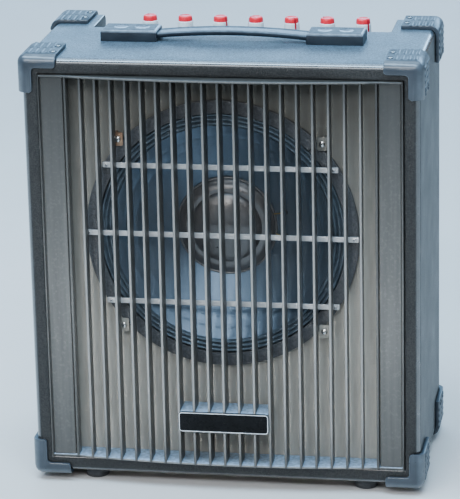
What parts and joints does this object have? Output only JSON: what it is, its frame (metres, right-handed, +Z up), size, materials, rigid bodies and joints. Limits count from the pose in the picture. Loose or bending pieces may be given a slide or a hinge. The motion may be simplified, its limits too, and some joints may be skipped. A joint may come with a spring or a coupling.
{
  "type": "guitar amplifier",
  "caption": "Combo guitar amplifier: textured box with moulded corners, bowed vertical-slat grille over one large speaker, strap handle, rear-top row of red knobs.",
  "frame": {"origin": "centre of the footprint of the whole amplifier, on the surface its feet stand on", "axes": "+Z up; +X to the viewer's right facing the grille; +Y from the grille towards the back"},
  "size_m": [0.443, 0.2426, 0.5012],
  "materials": {
    "cabinet_vinyl": "plywood covered in pebble-grained dark vinyl",
    "baffle_paint": "matt olive-grey paint",
    "grille_plastic": "satin grey moulded plastic",
    "bar_metal": "satin light grey enamel",
    "badge_black": "plain black plate with a pale rim, no lettering",
    "basket_steel": "black enamel on pressed steel",
    "gasket_felt": "compressed grey felt",
    "treated_cloth": "doped woven cloth",
    "cone_paper": "black pressed paper with a slight sheen",
    "coil_copper": "enamelled copper wire",
    "plated_steel": "zinc-plated steel",
    "ferrite": "dark grey sintered ferrite",
    "core_iron": "varnished steel laminations",
    "panel_black": "fine-textured black enamel",
    "knob_plastic": "red cap on a white skirt with a red pointer line",
    "board_green": "glass-fibre circuit board",
    "switch_plastic": "black moulded plastic",
    "lamp_red": "clear red lens",
    "lead_rubber": "black rubber sheath",
    "handle_rubber": "smooth black rubber",
    "corner_plastic": "dark moulded plastic",
    "foot_rubber": "black rubber"
  },
  "bodies": {
    "cabinet": {"cabinet_top": "cabinet_vinyl", "cabinet_bottom": "cabinet_vinyl", "cabinet_left": "cabinet_vinyl", "cabinet_right": "cabinet_vinyl", "baffle_board": "baffle_paint", "back_panel_upper": "cabinet_vinyl", "back_panel_lower": "cabinet_vinyl", "grille": "grille_plastic", "badge_plate": "badge_black", "guard_bar_upper": "bar_metal", "guard_bar_middle": "bar_metal", "guard_bar_lower": "bar_metal", "speaker_clamp_top_left": "baffle_paint", "speaker_clamp_top_right": "baffle_paint", "speaker_clamp_bottom_left": "baffle_paint", "speaker_clamp_bottom_right": "baffle_paint", "speaker_basket": "basket_steel", "speaker_gasket": "gasket_felt", "speaker_surround": "treated_cloth", "spider": "treated_cloth", "magnet_top_plate": "plated_steel", "magnet_ring": "ferrite", "magnet_yoke": "plated_steel", "speaker_terminal": "switch_plastic", "speaker_lead": "lead_rubber", "control_panel": "panel_black", "chassis": "plated_steel", "control_board": "board_green", "input_jack": "switch_plastic", "pilot_lamp": "lamp_red", "power_switch_body": "switch_plastic", "transformer_core": "core_iron", "transformer_winding": "coil_copper", "mains_inlet": "switch_plastic", "handle_strap": "handle_rubber", "handle_cap_left": "corner_plastic", "handle_cap_right": "corner_plastic", "corner_top_front_left": "corner_plastic", "corner_top_front_right": "corner_plastic", "corner_top_rear_left": "corner_plastic", "corner_top_rear_right": "corner_plastic", "corner_bottom_front_left": "corner_plastic", "corner_bottom_front_right": "corner_plastic", "corner_bottom_rear_left": "corner_plastic", "corner_bottom_rear_right": "corner_plastic", "foot_front_left": "foot_rubber", "foot_front_right": "foot_rubber", "foot_rear_left": "foot_rubber", "foot_rear_right": "foot_rubber"},
    "cone": {"speaker_cone": "cone_paper", "dust_cap": "cone_paper", "voice_coil": "coil_copper"},
    "rocker": {"power_rocker": "switch_plastic"},
    "knob_1": {"knob_1": "knob_plastic"},
    "knob_2": {"knob_2": "knob_plastic"},
    "knob_3": {"knob_3": "knob_plastic"},
    "knob_4": {"knob_4": "knob_plastic"},
    "knob_5": {"knob_5": "knob_plastic"},
    "knob_6": {"knob_6": "knob_plastic"},
    "knob_7": {"knob_7": "knob_plastic"}
  },
  "joints": [
    {"name": "cone_travel", "type": "slide", "parent": "cabinet", "child": "cone", "axis": [0, 1, 0], "range_m": [-0.003, 0.003], "stiffness_N_per_m": 2500},
    {"name": "power_rocker_tilt", "type": "hinge", "parent": "cabinet", "child": "rocker", "pos_m": [0.1555, 0.07875, 0.473], "axis": [1, 0, 0], "range_deg": [0, 16]},
    {"name": "knob_1_turn", "type": "hinge", "parent": "cabinet", "child": "knob_1", "pos_m": [-0.1089, 0.07875, 0.472], "axis": [0, 0, 1], "range_deg": [-150, 150]},
    {"name": "knob_2_turn", "type": "hinge", "parent": "cabinet", "child": "knob_2", "pos_m": [-0.0685, 0.07875, 0.472], "axis": [0, 0, 1], "range_deg": [-150, 150]},
    {"name": "knob_3_turn", "type": "hinge", "parent": "cabinet", "child": "knob_3", "pos_m": [-0.0281, 0.07875, 0.472], "axis": [0, 0, 1], "range_deg": [-150, 150]},
    {"name": "knob_4_turn", "type": "hinge", "parent": "cabinet", "child": "knob_4", "pos_m": [0.0123, 0.07875, 0.472], "axis": [0, 0, 1], "range_deg": [-150, 150]},
    {"name": "knob_5_turn", "type": "hinge", "parent": "cabinet", "child": "knob_5", "pos_m": [0.0527, 0.07875, 0.472], "axis": [0, 0, 1], "range_deg": [-150, 150]},
    {"name": "knob_6_turn", "type": "hinge", "parent": "cabinet", "child": "knob_6", "pos_m": [0.0931, 0.07875, 0.472], "axis": [0, 0, 1], "range_deg": [-150, 150]},
    {"name": "knob_7_turn", "type": "hinge", "parent": "cabinet", "child": "knob_7", "pos_m": [0.1335, 0.07875, 0.472], "axis": [0, 0, 1], "range_deg": [-150, 150]}
  ]
}
